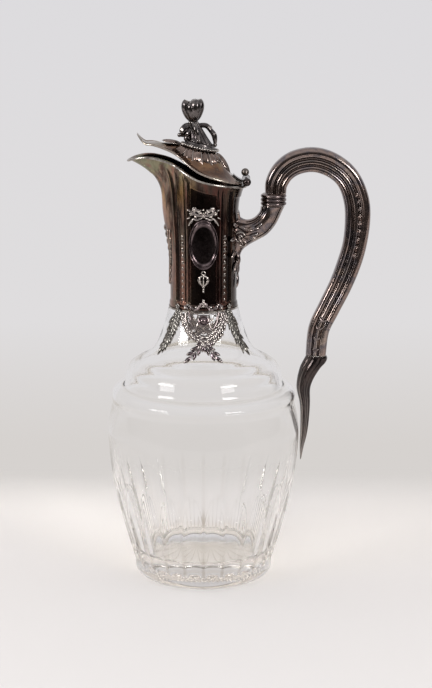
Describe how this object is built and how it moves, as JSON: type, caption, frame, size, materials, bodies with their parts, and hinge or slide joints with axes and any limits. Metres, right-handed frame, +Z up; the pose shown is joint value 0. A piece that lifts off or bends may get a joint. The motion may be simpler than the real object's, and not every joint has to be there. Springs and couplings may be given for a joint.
{
  "type": "claret jug",
  "caption": "Fluted clear-glass claret jug with a silver neck mount, flared pouring spout, hinged domed lid with bud finial and a reeded scroll handle.",
  "frame": {"origin": "centre of the foot's resting face, on the axis of the glass body", "axes": "+Z up along the body's axis, -X towards the spout, +X towards the handle"},
  "size_m": [0.1549, 0.1144, 0.2854],
  "materials": {
    "cut_glass": "clear polished cut glass",
    "plaster": "matt white fitting plaster",
    "mount_silver": "tarnished silver, chased, dark in the panels",
    "ornament_silver": "cast silver ornament with dark tarnish in the hollows",
    "lid_silver": "tarnished silver with a warm brown bloom",
    "handle_silver": "cast silver, reeded, dark tarnish with worn ridges",
    "hinge_silver": "drawn silver wire, polished ball ends",
    "steel_screw": "turned steel"
  },
  "bodies": {
    "root": {"glass_body": "cut_glass", "neck_cement": "plaster", "neck_mount": "mount_silver", "mount_foot_ring": "mount_silver", "mouth_wire": "mount_silver", "front_cartouche": "mount_silver", "back_cartouche": "mount_silver", "front_bow": "ornament_silver", "back_bow": "ornament_silver", "front_pendant": "ornament_silver", "back_pendant": "ornament_silver", "front_shield": "ornament_silver", "back_shield": "ornament_silver", "front_swag": "ornament_silver", "back_swag": "ornament_silver", "front_sprigs": "ornament_silver", "back_sprigs": "ornament_silver", "spout_branches": "ornament_silver", "handle_branches": "ornament_silver", "pilaster_husks": "ornament_silver", "spout_ribbon": "ornament_silver", "fixed_knuckles": "mount_silver", "hinge_pin": "hinge_silver", "handle_root": "handle_silver", "handle_collar": "handle_silver", "handle_loop": "handle_silver", "handle_tail": "handle_silver", "handle_husks": "handle_silver", "handle_crescents": "handle_silver"},
    "lid": {"lid_cover": "lid_silver", "lid_hinge_leaf": "lid_silver", "thumb_knob": "lid_silver", "lid_drum": "lid_silver", "lid_bead_ring": "lid_silver", "lid_leaf": "lid_silver", "finial_stalk": "lid_silver", "finial_scrolls": "lid_silver", "finial_bud": "lid_silver", "finial_screw": "steel_screw", "finial_nut": "steel_screw"}
  },
  "joints": [
    {"name": "lid_hinge", "type": "hinge", "parent": "root", "child": "lid", "pos_m": [0.0251, 0, 0.2378], "axis": [0, 1, 0], "range_deg": [-6, 78]}
  ]
}
